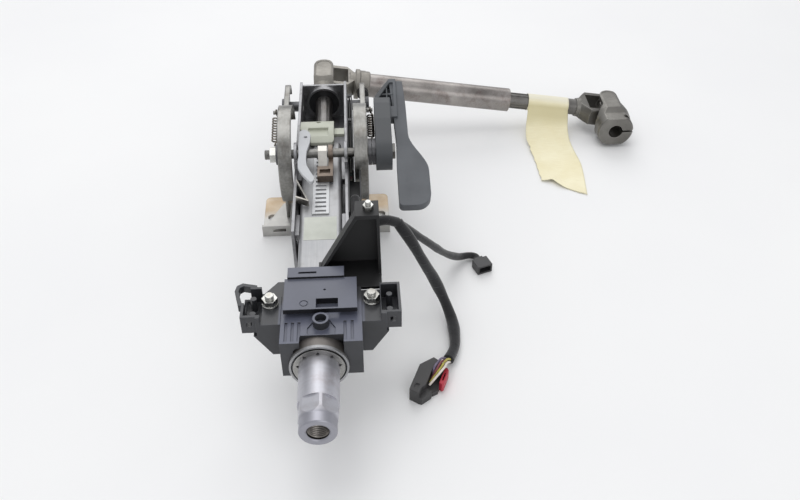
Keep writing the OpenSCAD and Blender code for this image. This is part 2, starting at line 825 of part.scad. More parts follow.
module star_ring() {
  color("lightgray") on_axis() difference() {
    rod_y(18.2, ring_y - 0.4, ring_y + 1.2);
    rod_y(wheel_r, ring_y - 5, ring_y + 5);
    for (i = [0 : 8]) {
      rotate([0, 40 * i, 0]) front(ring_y - 5, ring_y + 5)
        polygon([[-1.9, wheel_r - 1], [1.9, wheel_r - 1], [0, wheel_r + 2.2]]);
    }
  }
}

module lower_shaft() {
  color("gray") on_axis() difference() {
    rod_y(inner_r, -150, rear_y + 1);
    for (i = [0 : 5]) {
      rotate([0, 60 * i + 30, 0]) box(-1.3, 1.3, 40, rear_y - 10, inner_r - 1.6, inner_r + 2);
    }
  }
}

// two ears along X from the centre, standing above and below, with their base
module yoke(half) {
  difference() {
    intersection() {
      union() {
        for (s = [-1, 1]) {
          rod_z(half, s > 0 ? ear_in : -ear_out, s > 0 ? ear_out : -ear_in);
          box(0, throat + 8, -half, half, s > 0 ? ear_in : -ear_out, s > 0 ? ear_out : -ear_in);
        }
        box(throat, throat + 8, -half, half, -ear_out, ear_out);
      }
      rotate([0, 90, 0]) rotate_extrude() polygon([[0, -half - 5], [ear_out + 1.3, -half - 5],
        [ear_out + 1.3, throat - 1], [shoulder_r, throat + 8], [0, throat + 8]]);
    }
    rod_z(cup_r, -30, 30);
  }
}

module cups() {
  difference() {
    union() {
      rod_z(cup_r, ear_in - 0.4, ear_out - 0.4);
      rod_z(cup_r, -ear_out + 0.4, -ear_in + 0.4);
    }
    rod_z(pin_r + run, -ear_out + 1.6, ear_out - 1.6);
  }
}

module spider() {
  rod_z(pin_r, -ear_out + 1.8, ear_out - 1.8);
  rod_y(pin_r, -ear_out + 1.8, ear_out - 1.8);
  rod_z(7.4, -8.5, 8.5);
  rod_y(7.4, -8.5, 8.5);
}

module at_upper() {
  translate([0, joint_y, axis_z]) children();
}

module on_inter() {
  at_upper() rotate([0, fall, 0]) children();
}

module at_lower() {
  translate([joint_x2, joint_y, joint_z2]) children();
}

module shaft_yoke() {
  color("gray") at_upper() {
    rotate([0, 0, -90]) yoke(10);
    rotate([90, 0, 0]) rotate_extrude() polygon([[0, throat + 4], [15.8, throat + 4], [14.2, throat + 9],
      [11.5, joint_y - rear_y - 1], [0, joint_y - rear_y - 1]]);
  }
}

module shaft_yoke_cups() {
  color("gray") at_upper() cups();
}

module upper_cross() {
  color("dimgray") at_upper() spider();
}

module tube_yoke() {
  color("gray") on_inter() difference() {
    union() {
      rotate([90, 0, 0]) yoke(9);
      rotate([0, 90, 0]) rotate_extrude() polygon([[0, throat + 2], [12, throat + 2], [12, throat + 8],
        [15.6, throat + 8], [15.6, throat + 12], [14.2, throat + 13], [14.2, clamp_end - 1],
        [13.2, clamp_end], [0, clamp_end]]);
      translate([cross_bolt_x, 0, 0]) rod_y(6.6, -boss_y, boss_y);
    }
    rod_x(inter_r, throat + 9, 60);
    translate([cross_bolt_x, 0, 0]) rod_y(clamp_r, -30, 30);
  }
}

module tube_yoke_cups() {
  color("gray") on_inter() rotate([90, 0, 0]) cups();
}

module inter_tube() {
  color("gray") on_inter() difference() {
    rod_x(inter_r, throat + 9, 199);
    rod_x(spline_r + run, tube_bore_x, 210);
    translate([cross_bolt_x, 0, 0]) rod_y(clamp_r, -30, 30);
  }
}

module pinch_bolt() {
  color("dimgray") on_inter() translate([cross_bolt_x, 0, 0]) {
    rod_y(clamp_r, -boss_y - 1, boss_y + 6);
    rod_y(5.9, -boss_y - 5.5, -boss_y);
    translate([0, boss_y, 0]) rotate([-90, 0, 0]) hex_z(11, 0, 5);
  }
}

module inter_shaft() {
  color("gray") on_inter() difference() {
    rod_x(spline_r, 105, inter_len - fork_seat);
    for (i = [0 : 11]) {
      rotate([30 * i, 0, 0]) box(195, flag_r - 2, -0.9, 0.9, spline_r - 0.7, spline_r + 2);
    }
  }
}

module shaft_fork() {
  color("dimgray") on_inter() translate([inter_len, 0, 0]) difference() {
    union() {
      mirror([1, 0, 0]) rotate([90, 0, 0]) yoke(9);
      rotate([0, 90, 0]) rotate_extrude() polygon([[0, -throat - 12], [9.7, -throat - 12],
        [shoulder_r, -throat - 7], [0, -throat - 7]]);
    }
    rod_x(spline_r, -50, -fork_seat);
  }
}

module shaft_fork_cups() {
  color("dimgray") at_lower() rotate([90, 0, 0]) cups();
}

// thin sheet through rows of a left and a right point
module strip(rows, t) {
  m = len(rows);
  up = [for (q = rows) each [q[0], q[1]]];
  low = [for (q = up) q + [0, 0.5 * t, -0.87 * t]];
  skin = [for (i = [0 : m - 2]) each
    [[2 * i, 2 * i + 1, 2 * i + 2], [2 * i + 1, 2 * i + 3, 2 * i + 2]]];
  back = [for (f = skin) [f[0] + 2 * m, f[2] + 2 * m, f[1] + 2 * m]];
  edges = [for (i = [0 : m - 2]) each
    let (a = 2 * i, b = 2 * i + 2, c = 2 * i + 1, d = 2 * i + 3, n = 2 * m)
    [[a, b, a + n], [b, b + n, a + n], [d, c, d + n], [c, c + n, d + n]]];
  tips = [[1, 0, 2 * m], [1, 2 * m, 2 * m + 1],
    [2 * m - 2, 2 * m - 1, 4 * m - 2], [2 * m - 1, 4 * m - 1, 4 * m - 2]];
  polyhedron(points = concat(up, low), faces = concat(skin, back, edges, tips), convexity = 4);
}

module tape_wrap() {
  color("wheat") on_inter() difference() {
    rod_x(spline_r + wrap_t, flag_l, flag_r);
    rod_x(spline_r, flag_l - 5, flag_r + 5);
  }
}

module tape_flag() {
  color("wheat") strip(flag_rows, flag_t);
}

module lower_cross() {
  color("dimgray") at_lower() spider();
}

// outline of the rack clamp seen from above, two ears widening into the clamp
module rack_plan() {
  circle(rack_ear);
  polygon([[0, -rack_ear], [16, -rack_ear - 0.2], [throat + 6, -rack_out], [rack_face, -rack_out],
    [rack_face, rack_out], [throat + 6, rack_out], [16, rack_ear + 0.2], [0, rack_ear]]);
}

// the same seen from the side, drawn in X and Z
module rack_side() {
  polygon([[-rack_ear, -ear_out], [throat + 1, -ear_out], [throat + 7, -rack_half_h],
    [rack_face, -rack_half_h], [rack_face, rack_half_h], [throat + 7, rack_half_h],
    [throat + 1, ear_out], [-rack_ear, ear_out]]);
}

module rack_yoke() {
  color("dimgray") at_lower() rotate([0, 0, -rack_turn]) difference() {
    intersection() {
      translate([0, 0, -ear_out]) linear_extrude(2 * ear_out) rack_plan();
      rotate([90, 0, 0]) translate([0, 0, -30]) linear_extrude(60) rack_side();
      rotate([0, 90, 0]) rotate_extrude() polygon([[0, -12], [ear_out + 1.3, -12],
        [ear_out + 1.3, throat], [rack_out, throat + 8], [rack_out, rack_face - 1.5],
        [rack_out - 1.5, rack_face], [0, rack_face]]);
    }
    box(-15, throat, -30, 30, -ear_in, ear_in);
    rod_z(cup_r, -30, 30);
    rod_x(rack_r, 10, 60);
    box(throat + 9, 60, 0, 40, -1.25, 1.25);
    translate([pinch_x, pinch_y, 0]) rod_z(pinch_r, -30, 30);
  }
}

module rack_yoke_cups() {
  color("dimgray") at_lower() cups();
}

mounting_bracket();
left_side_plate();
right_side_plate();
pivot_pins();
left_spring();
right_spring();
tilt_channel();
rear_bearing();
clamp_bolt();
clamp_nut();
thrust_washer();
fixed_cam();
guide_block();
lock_arm();
spring_clip();
crash_strap();
wire_duct();
duct_wires();
clamp_lever();
moving_cam();
lock_pawl();
column_tube();
ladder_strip();
label();
front_bearing();
switch_carrier();
carrier_lid();
carrier_nuts();
harness_tower();
tower_nut();
harness_trunk();
thick_branch();
thin_branch();
large_connector();
connector_lock();
connector_wires();
small_connector();
wheel_shaft();
star_ring();
lower_shaft();
shaft_yoke();
shaft_yoke_cups();
upper_cross();
tube_yoke();
tube_yoke_cups();
inter_tube();
pinch_bolt();
inter_shaft();
shaft_fork();
shaft_fork_cups();
tape_wrap();
tape_flag();
lower_cross();
rack_yoke();
rack_yoke_cups();
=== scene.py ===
"""Looks of an adjustable steering column: finishes, harness, tape flag and fine details on the frame."""

import math

import bpy
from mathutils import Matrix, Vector, noise


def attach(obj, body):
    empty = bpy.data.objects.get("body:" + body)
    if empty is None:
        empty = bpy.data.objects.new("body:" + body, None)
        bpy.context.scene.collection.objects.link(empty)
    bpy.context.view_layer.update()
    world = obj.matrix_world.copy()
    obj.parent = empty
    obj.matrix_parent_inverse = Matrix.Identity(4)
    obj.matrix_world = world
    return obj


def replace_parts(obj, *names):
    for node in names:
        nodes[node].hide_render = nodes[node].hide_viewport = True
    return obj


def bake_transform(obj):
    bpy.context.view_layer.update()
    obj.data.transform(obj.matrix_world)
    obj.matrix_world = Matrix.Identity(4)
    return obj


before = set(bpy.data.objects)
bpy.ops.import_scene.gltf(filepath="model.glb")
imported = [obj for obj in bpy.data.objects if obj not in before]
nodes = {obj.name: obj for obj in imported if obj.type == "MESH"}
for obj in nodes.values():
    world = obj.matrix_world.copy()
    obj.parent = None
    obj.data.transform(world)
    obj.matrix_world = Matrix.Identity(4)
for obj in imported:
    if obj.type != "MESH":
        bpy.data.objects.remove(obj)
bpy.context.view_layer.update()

MM = 0.001

# driving dimensions of the part, in millimetres, as in its source
AXIS_Z = 66
INTER_LEN = 310.6
JOINT_Y = 149.6
EAR_OUT = 19.5
SPLINE_R = 8.5
WHEEL_Y = -308
THREAD_R = 7.25
BOLT_Y, BOLT_T = -28, 28
WEB_L, WEB_R = 37, 41
SPRING_R = 2.6
FALL = math.asin((AXIS_Z - EAR_OUT) / INTER_LEN)

# harness routes and radii in millimetres, as in the part's source
TRUNK = [(28.6, -77, 80.5), (28.6, -104, 80.5), (28.6, -131, 84), (30.5, -138, 93), (39, -141, 103),
         (51, -140, 106), (61, -137, 101)]
THICK = [(61, -137, 101), (71, -141, 86), (80, -141, 66), (90, -137, 42), (99, -140, 21),
         (105, -152, 8), (106, -168, 5.5), (104, -183, 5.5), (98, -196, 6.5)]
THIN = [(61, -137, 101), (72, -130, 86), (89, -113, 58), (104, -93, 30), (118, -76, 10),
        (130, -69, 5), (135.4, -70.6, 4.8), (137.05, -74.9, 4.8)]
TRUNK_R, THICK_R, THIN_R = 3.9, 4.6, 3.3

# wires into the large connector, in the connector's own frame
CONNECTOR_AT, CONNECTOR_TURN = (80, -216), math.radians(68)
WIRE_R = 0.9
WIRES = {
    "wire_violet": [(24.15, -8.25, 8.3), (18, -5.6, 14.6), (12.5, -4.2, 15.4), (7.2, -3, 14.8),
                    (5, -2.6, 9)],
    "wire_pink": [(24.15, -8.25, 4.9), (19, -7.9, 11.2), (14, -6.6, 15.2), (7.2, -5.5, 15.2),
                  (0.5, -2.6, 7.5)],
    "wire_yellow": [(24.6, -10.7, 8.3), (18.6, -9.9, 14.2), (13, -8.8, 15.6), (7.2, -7.9, 15.4),
                    (-3.5, -2.6, 8)],
    "wire_white": [(24.6, -10.7, 4.9), (19.2, -11.4, 10.8), (14, -11, 15), (7.2, -10.2, 15.8),
                   (-7.5, -3.4, 10)],
}


def mm(x, y, z):
    """A point given in millimetres, in metres."""
    return Vector((x, y, z)) * MM


def srgb(r, g, b):
    """A colour as a screen shows it, 0 to 255, as linear RGBA."""
    shares = (r / 255, g / 255, b / 255)
    linear = [c / 12.92 if c <= 0.04045 else ((c + 0.055) / 1.055) ** 2.4 for c in shares]
    return (*linear, 1.0)


# materials

class Paint:
    """Builds one node material around its Principled shader, with object coordinates in metres."""

    def __init__(self, name, metallic=0.0, specular=0.5, sheen=0.0):
        self.material = bpy.data.materials.new(name)
        self.material.use_nodes = True
        self.tree = self.material.node_tree
        self.shader = self.tree.nodes["Principled BSDF"]
        self.shader.inputs["Metallic"].default_value = metallic
        self.shader.inputs["Specular IOR Level"].default_value = specular
        self.shader.inputs["Sheen Weight"].default_value = sheen
        self.coords = self.add("ShaderNodeTexCoord").outputs
        self.normal = None

    def feed(self, socket, value):
        """Links another node's output to a socket, or sets the socket's own value."""
        if isinstance(value, bpy.types.NodeSocket):
            self.tree.links.new(value, socket)
        else:
            socket.default_value = value

    def add(self, kind, inputs=None, **settings):
        """A new node with its settings and with its inputs fed."""
        node = self.tree.nodes.new(kind)
        for key, value in settings.items():
            setattr(node, key, value)
        for key, value in (inputs or {}).items():
            self.feed(node.inputs[key], value)
        return node

    def place(self, stretch, turn=(0, 0, 0), coords="Object"):
        """Coordinates stretched along three axes, which turn can incline."""
        kind = "TEXTURE" if turn != (0, 0, 0) else "POINT"
        inputs = {"Vector": self.coords[coords], "Scale": stretch, "Rotation": turn}
        return self.add("ShaderNodeMapping", inputs, vector_type=kind).outputs["Vector"]

    def spot(self, coords="Object"):
        """The X, Y and Z of a point, as outputs."""
        return self.add("ShaderNodeSeparateXYZ", {"Vector": self.coords[coords]}).outputs

    def noise(self, scale, detail, where=None, rough=0.55):
        """A noise of so many waves a metre."""
        inputs = {"Vector": where or self.coords["Object"], "Scale": scale, "Detail": detail,
                  "Roughness": rough}
        return self.add("ShaderNodeTexNoise", inputs).outputs["Fac"]

    def span(self, value, low, high, to_low, to_high):
        """Carries a value from one range to another and keeps it within that."""
        inputs = {"Value": value, "From Min": low, "From Max": high, "To Min": to_low, "To Max": to_high}
        return self.add("ShaderNodeMapRange", inputs).outputs["Result"]

    def ramp(self, value, first, last):
        """A colour between two stops, each a place and a colour."""
        node = self.add("ShaderNodeValToRGB", {"Fac": value})
        for end, (place, colour) in zip(node.color_ramp.elements, (first, last)):
            end.position, end.color = place, colour
        return node.outputs["Color"]

    def mix(self, share, first, second):
        """Two colours mixed; a Mix node's colour sockets share their names, so they go by number."""
        node = self.add("ShaderNodeMix", data_type="RGBA")
        for number, value in ((0, share), (6, first), (7, second)):
            self.feed(node.inputs[number], value)
        return node.outputs[2]

    def math(self, operation, first, second=0.0):
        """One step of arithmetic."""
        node = self.add("ShaderNodeMath", operation=operation)
        self.feed(node.inputs[0], first)
        self.feed(node.inputs[1], second)
        return node.outputs[0]

    def round_edges(self, radius_mm):
        """Softens the light on sharp edges and returns how much of an edge a point is."""
        soft = self.add("ShaderNodeBevel", {"Radius": radius_mm * MM}, samples=6).outputs["Normal"]
        flat = self.add("ShaderNodeNewGeometry").outputs["Normal"]
        turn = self.add("ShaderNodeVectorMath", operation="DOT_PRODUCT")
        self.feed(turn.inputs[0], soft)
        self.feed(turn.inputs[1], flat)
        self.normal = soft
        return self.span(turn.outputs["Value"], 0.99, 0.8, 0, 1)

    def rub(self, worn, colour, edge):
        """The colour with its edges rubbed paler in patches."""
        patches = self.span(self.noise(160, 4), 0.4, 0.7, 0.15, 0.8)
        return self.mix(self.math("MULTIPLY", worn, patches), colour, edge)

    def bump(self, height, strength, depth_mm):
        """Adds relief to what the normal is so far."""
        inputs = {"Height": height, "Strength": strength, "Distance": depth_mm * MM}
        if self.normal is not None:
            inputs["Normal"] = self.normal
        self.normal = self.add("ShaderNodeBump", inputs).outputs["Normal"]

    def grain(self):
        """Adds the fine spark-eroded grain of moulded plastic."""
        self.bump(self.noise(2600, 2), 0.2, 0.06)

    def finish(self, colour, roughness):
        """Feeds the shader and returns the material."""
        self.feed(self.shader.inputs["Base Color"], colour)
        self.feed(self.shader.inputs["Roughness"], roughness)
        if self.normal is not None:
            self.feed(self.shader.inputs["Normal"], self.normal)
        return self.material


def plastic(name, dark, light, rough, edge, edge_mm=0.5, inner=None):
    """Moulded plastic: a fine spark-eroded grain, hazy patches and paler rubbed edges.

    inner gives a place on X in millimetres and a darker colour painted as shade on the column's side of it."""
    paint = Paint(name, specular=0.45)
    worn = paint.round_edges(edge_mm)
    haze = paint.noise(28, 6)
    colour = paint.ramp(haze, (0.32, dark), (0.72, light))
    # painted shade: the part on the column's side of a place on X is coloured darker
    if inner:
        place, shade = inner
        inside = paint.span(paint.spot()["X"], place * MM, (place - 1) * MM, 0, 0.8)
        colour = paint.mix(inside, colour, shade)
    colour = paint.rub(worn, colour, edge)
    paint.grain()
    return paint.finish(colour, paint.span(haze, 0.3, 0.7, *rough))


def shade_end(paint, colour, behind, before, shade):
    """The colour with another one between two places on Y, given in millimetres."""
    along = paint.spot()["Y"]
    within = paint.math("MULTIPLY", paint.span(along, behind * MM, (behind - 2) * MM, 0, 0.85),
                        paint.span(along, before * MM, (before - 0.6) * MM, 1, 0))
    return paint.mix(within, colour, shade)


def shade_bore(paint, colour, radius, shade):
    """Painted shade: the colour with a dark one within a radius, in millimetres, round the column axis,
    inside a bore.
    """
    spot = paint.spot()
    up = paint.math("SUBTRACT", spot["Z"], AXIS_Z * MM)
    squares = paint.math("ADD", paint.math("MULTIPLY", spot["X"], spot["X"]), paint.math("MULTIPLY", up, up))
    inside = paint.span(paint.math("SQRT", squares), radius * MM, (radius - 0.3) * MM, 0, 1)
    return paint.mix(inside, colour, shade)


def steel(name, dark, light, rough, stretch=(1, 1, 1), turn=(0, 0, 0), lines=900, stain=None, edge=None,
          metallic=1.0, pits=0.2, edge_mm=0.4, end_shade=None, bore=None):
    """Metal with tool or drawing marks along one direction, cloudy stains and brighter edges.

    end_shade and bore give what shade_end and shade_bore take; bore paints shade inside a hole."""
    paint = Paint(name, metallic=metallic)
    worn = paint.round_edges(edge_mm)
    clouds = paint.noise(34, 7)
    marks = paint.noise(lines, 3, paint.place(stretch, turn))
    both = paint.math("ADD", paint.math("MULTIPLY", clouds, 0.6), paint.math("MULTIPLY", marks, 0.4))
    colour = paint.ramp(both, (0.36, dark), (0.64, light))
    if stain:
        stained = paint.span(paint.noise(55, 8, rough=0.7), 0.52, 0.72, 0, 0.75)
        colour = paint.mix(stained, colour, stain)
    if edge:
        colour = paint.mix(paint.math("MULTIPLY", worn, 0.6), colour, edge)
    if end_shade:
        colour = shade_end(paint, colour, *end_shade)
    if bore:
        colour = shade_bore(paint, colour, *bore)
    paint.bump(marks, pits, 0.15)
    return paint.finish(colour, paint.span(paint.math("ADD", clouds, marks), 0.7, 1.3, *rough))


def cast(name, dark, light, rough, edge, skin_depth):
    """Forged or cast metal: coarse skin with darker patches, rubbed bright on its edges."""
    paint = Paint(name, metallic=0.85)
    worn = paint.round_edges(0.9)
    skin = paint.noise(260, 6, rough=0.65)
    clouds = paint.noise(24, 6)
    colour = paint.ramp(clouds, (0.34, dark), (0.68, light))
    colour = paint.mix(paint.span(skin, 0.55, 0.75, 0, 0.45), colour, dark)
    colour = paint.mix(paint.math("MULTIPLY", worn, 0.7), colour, edge)
    paint.bump(skin, 0.5, skin_depth)
    return paint.finish(colour, paint.span(skin, 0.3, 0.7, *rough))


def carrier_finish():
    """Black moulded housing; the level faces of its front shelf carry a painted reflection of the room, a
    paler lilac.
    """
    shelf_back, shelf_left, shelf_right = -206, -28.5, 33.5
    paint = Paint("carrier_plastic")
    worn = paint.round_edges(0.5)
    haze = paint.noise(28, 6)
    colour = paint.ramp(haze, (0.32, srgb(47, 48, 51)), (0.72, srgb(63, 64, 68)))
    spot = paint.spot()
    # painted reflection: faces that look up, on the front shelf, are coloured a paler lilac as if mirroring
    # the room
    level = paint.span(paint.spot("Normal")["Z"], 0.6, 0.9, 0, 1)
    front = paint.span(spot["Y"], shelf_back * MM, (shelf_back - 6) * MM, 0, 1)
    inner = paint.math("MULTIPLY", paint.span(spot["X"], shelf_left * MM, (shelf_left + 1) * MM, 0, 1),
                       paint.span(spot["X"], (shelf_right - 1) * MM, shelf_right * MM, 1, 0))
    painted_reflection = paint.math("MULTIPLY", paint.math("MULTIPLY", level, front), inner)
    lilac = paint.ramp(haze, (0.32, srgb(84, 87, 101)), (0.72, srgb(100, 103, 118)))
    colour = paint.mix(painted_reflection, colour, lilac)
    colour = paint.rub(worn, colour, srgb(118, 121, 132))
    paint.grain()
    return paint.finish(colour, paint.span(haze, 0.3, 0.7, 0.28, 0.42))


def lid_finish():
    """Lilac grey cover, with painted shade: near black on its front edge where it overhangs the shelf."""
    paint = Paint("lid_plastic")
    worn = paint.round_edges(0.5)
    haze = paint.noise(30, 6)
    colour = paint.ramp(haze, (0.32, srgb(80, 83, 95)), (0.72, srgb(97, 100, 113)))
    # painted shade: faces turned to the front are coloured near black
    front = paint.span(paint.spot("Normal")["Y"], -0.6, -0.9, 0, 1)
    colour = paint.mix(front, colour, srgb(24, 24, 27))
    colour = paint.rub(worn, colour, srgb(132, 135, 148))
    paint.grain()
    return paint.finish(colour, paint.span(haze, 0.3, 0.7, 0.28, 0.4))


def bracket_finish():
    """Zinc sheet whose rear half, behind the raised gussets, has an amber stain."""
    stain_from, stain_full = 10 * MM, 22 * MM
    sheet_top, gusset_foot = 3.5 * MM, 5 * MM
    paint = Paint("bracket_zinc", metallic=0.75)
    worn = paint.round_edges(0.6)
    clouds = paint.noise(40, 7)
    colour = paint.ramp(clouds, (0.34, srgb(164, 163, 160)), (0.66, srgb(198, 197, 193)))
    spot = paint.spot()
    uneven = paint.math("ADD", spot["Y"], paint.math("MULTIPLY", clouds, 20 * MM))
    back = paint.span(uneven, stain_from, stain_full, 0, 1)
    low = paint.span(spot["Z"], sheet_top, gusset_foot, 1, 0)
    amber = paint.ramp(paint.noise(60, 5), (0.35, srgb(187, 173, 153)), (0.7, srgb(170, 149, 122)))
    colour = paint.mix(paint.math("MULTIPLY", back, low), colour, amber)
    colour = paint.mix(paint.math("MULTIPLY", worn, 0.35), colour, srgb(214, 214, 214))
    paint.bump(paint.noise(520, 3), 0.15, 0.12)
    return paint.finish(colour, paint.span(clouds, 0.3, 0.7, 0.38, 0.55))


def wire_set_finish():
    """Four wires, one above the other, each with its own insulation colour."""
    insulation = [srgb(140, 137, 130), srgb(124, 92, 98), srgb(70, 80, 78), srgb(52, 52, 50)]
    lowest, step = (AXIS_Z + 9.3) * MM, 2.4 * MM
    count = len(insulation)
    paint = Paint("duct_wire_colours")
    share = paint.span(paint.spot()["Z"], lowest, lowest + count * step, 0, 1)
    bands = paint.add("ShaderNodeValToRGB", {"Fac": share})
    bands.color_ramp.interpolation = "CONSTANT"
    stops = bands.color_ramp.elements
    for k in range(1, count):
        stops.new(k / count).color = insulation[k]
    stops[0].color, stops[-1].color = insulation[0], insulation[-1]
    dirt = paint.noise(180, 5)
    colour = paint.mix(paint.span(dirt, 0.5, 0.75, 0, 0.5), bands.outputs["Color"], srgb(60, 56, 54))
    paint.bump(paint.noise(900, 2), 0.1, 0.05)
    return paint.finish(colour, paint.span(dirt, 0.3, 0.7, 0.35, 0.5))


def wire_finish(name, colour, shade):
    """Insulation of one wire, with a darker shade where it is dirty."""
    paint = Paint(name)
    dirt = paint.noise(240, 5)
    paint.bump(paint.noise(1500, 2), 0.1, 0.04)
    colour = paint.ramp(dirt, (0.35, colour), (0.75, shade))
    return paint.finish(colour, paint.span(dirt, 0.3, 0.7, 0.3, 0.48))


def cloth_tape_finish():
    """Black fleece tape wound in a spiral: the map runs along the cord in metres and once round it."""
    turn_length = 10.5 * MM
    paint = Paint("cloth_tape", specular=0.25, sheen=0.35)
    across = paint.spot("UV")
    turns = paint.math("ADD", paint.math("MULTIPLY", across["X"], 1 / turn_length), across["Y"])
    lap = paint.math("FRACT", turns)
    fuzz = paint.noise(1500, 6, rough=0.7)
    weave = paint.noise(520, 3)
    colour = paint.ramp(fuzz, (0.32, srgb(20, 20, 21)), (0.72, srgb(52, 52, 54)))
    colour = paint.mix(paint.span(lap, 0.0, 0.1, 0.55, 0.0), colour, srgb(9, 9, 10))
    paint.bump(lap, 0.7, 0.35)
    paint.bump(paint.math("ADD", fuzz, weave), 0.5, 0.25)
    return paint.finish(colour, paint.span(fuzz, 0.3, 0.7, 0.72, 0.92))


def crepe_finish():
    """Cream masking tape with fine crepe ridges, greyer round the shaft and darker just below it.

    The map runs across the tape and along it, in metres."""
    wrap_end, band_start, band_end = 45, 49, 64
    paint = Paint("crepe_tape", specular=0.3, sheen=0.1)
    ridges = paint.noise(70, 4, paint.place((1, 26, 1), coords="UV"), rough=0.6)
    clouds = paint.noise(36, 5)
    colour = paint.ramp(clouds, (0.3, srgb(240, 231, 194)), (0.7, srgb(249, 243, 213)))
    along = paint.spot("UV")["Y"]
    below = paint.math("MULTIPLY", paint.span(along, band_start * MM, (band_start + 5) * MM, 0, 0.8),
                       paint.span(along, band_end * MM, (band_end + 12) * MM, 1, 0))
    colour = paint.mix(below, colour, srgb(212, 203, 162))
    wrapped = paint.span(along, wrap_end * MM, (wrap_end + 5) * MM, 0.75, 0)
    colour = paint.mix(wrapped, colour, srgb(229, 227, 214))
    colour = paint.mix(paint.span(ridges, 0.35, 0.6, 0.26, 0.0), colour, srgb(220, 206, 160))
    paint.bump(ridges, 0.5, 0.25)
    return paint.finish(colour, paint.span(ridges, 0.3, 0.7, 0.55, 0.75))


def label_finish():
    """Blank label paper, slightly clouded."""
    paint = Paint("label_paper", specular=0.3)
    clouds = paint.noise(60, 6)
    colour = paint.ramp(clouds, (0.3, srgb(188, 191, 181)), (0.7, srgb(206, 208, 199)))
    paint.bump(paint.noise(1400, 3), 0.15, 0.05)
    return paint.finish(colour, paint.span(clouds, 0.3, 0.7, 0.5, 0.65))


# places on Y and X where a finish changes, among them the end of the lever drum's painted shade on X, and
# the radius within which the wheel bore is painted dark as shade, in millimetres
HEAD_BACK, HEAD_FRONT = -232, -249.4
SEAT_BACK, PAST_SEAT = -297.5, -400
DRUM_SHADE_END = WEB_R + 21.6
BORE_SHADE_R = THREAD_R + 0.45

# how far tool and drawing marks are stretched on X, Y and Z, and the turn of the inclined shaft
ALONG_Y = (0.03, 1, 0.03)
ROUND_X = (0.03, 1, 1)
SHEET = (1, 0.12, 1)
DRAWN = (1, 0.05, 1)
TURNED = (1, 0.04, 1)
INCLINED = (0, FALL, 0)

plate_metal = steel("plate_metal", srgb(116, 115, 112), srgb(158, 157, 153), (0.28, 0.42), SHEET,
                    lines=500, stain=srgb(98, 92, 85), edge=srgb(178, 177, 173), edge_mm=2.0)
channel_metal = steel("channel_metal", srgb(132, 132, 134), srgb(172, 172, 174), (0.38, 0.55), SHEET,
                      lines=400, stain=srgb(92, 90, 88), edge=srgb(186, 186, 185))
tube_metal = steel("tube_metal", srgb(150, 151, 153), srgb(178, 178, 179), (0.4, 0.54), DRAWN,
                   lines=700, stain=srgb(140, 139, 137), edge=srgb(206, 206, 205), metallic=0.7,
                   pits=0.06, end_shade=(HEAD_BACK, HEAD_FRONT, srgb(104, 98, 93)))
ladder_metal = steel("ladder_metal", srgb(174, 175, 177), srgb(198, 199, 200), (0.38, 0.52), SHEET,
                     lines=700, stain=srgb(160, 159, 157), edge=srgb(216, 216, 215), metallic=0.6,
                     pits=0.05)
# the wheel shaft's bore is painted dark as shade inside
shaft_metal = steel("shaft_metal", srgb(184, 184, 189), srgb(203, 203, 210), (0.44, 0.54), ALONG_Y,
                    lines=300, stain=srgb(172, 166, 168), edge=srgb(226, 226, 228), pits=0.02,
                    end_shade=(SEAT_BACK, PAST_SEAT, srgb(160, 160, 168)), bore=(BORE_SHADE_R, srgb(38, 35, 33)))
thread_metal = steel("thread_metal", srgb(122, 117, 112), srgb(168, 163, 158), (0.3, 0.42), ALONG_Y,
                     pits=0.02)
inner_metal = steel("inner_metal", srgb(92, 90, 88), srgb(144, 142, 140), (0.34, 0.48), TURNED,
                    lines=500, stain=srgb(90, 84, 78))
bearing_metal = steel("bearing_metal", srgb(60, 60, 62), srgb(104, 104, 106), (0.3, 0.5), ALONG_Y)
ring_metal = steel("ring_metal", srgb(142, 141, 138), srgb(184, 183, 180), (0.3, 0.44),
                   edge=srgb(222, 221, 218), pits=0.05)
bolt_zinc = steel("bolt_zinc", srgb(164, 164, 160), srgb(214, 214, 210), (0.24, 0.38), lines=300,
                  stain=srgb(156, 146, 128), edge=srgb(244, 244, 242), pits=0.05)
clamp_zinc = steel("clamp_zinc", srgb(108, 107, 104), srgb(150, 149, 146), (0.38, 0.52), lines=300,
                   stain=srgb(104, 98, 90), edge=srgb(190, 189, 186), pits=0.05)
pin_metal = steel("pin_metal", srgb(70, 70, 72), srgb(112, 112, 114), (0.35, 0.5),
                  edge=srgb(170, 170, 170))
spring_wire = steel("spring_wire", srgb(104, 98, 92), srgb(154, 148, 140), (0.3, 0.45), pits=0.05)
clip_metal = steel("clip_metal", srgb(160, 157, 151), srgb(196, 193, 187), (0.28, 0.4), SHEET, lines=160,
                   stain=srgb(124, 114, 104), edge=srgb(236, 234, 230), pits=0.01)
bronze = steel("bronze", srgb(82, 73, 67), srgb(136, 124, 114), (0.32, 0.5), stain=srgb(58, 52, 48),
               edge=srgb(176, 164, 150))
inter_drawn = steel("inter_drawn", srgb(112, 107, 104), srgb(178, 173, 169), (0.28, 0.46), ROUND_X,
                    INCLINED, lines=420, stain=srgb(98, 80, 76), edge=srgb(208, 206, 202))
spline_metal = steel("spline_metal", srgb(92, 90, 87), srgb(144, 142, 139), (0.35, 0.55), ROUND_X,
                     INCLINED, lines=420, stain=srgb(84, 76, 69))
forged = cast("forged_grey", srgb(122, 119, 113), srgb(160, 156, 149), (0.4, 0.6), srgb(192, 189, 183),
              skin_depth=0.12)
forged_dark = cast("forged_dark", srgb(103, 101, 97), srgb(133, 131, 126), (0.32, 0.5),
                   srgb(184, 182, 177), skin_depth=0.16)
joint_black = plastic("joint_black", srgb(30, 30, 31), srgb(58, 57, 57), (0.4, 0.6), srgb(104, 102, 100))
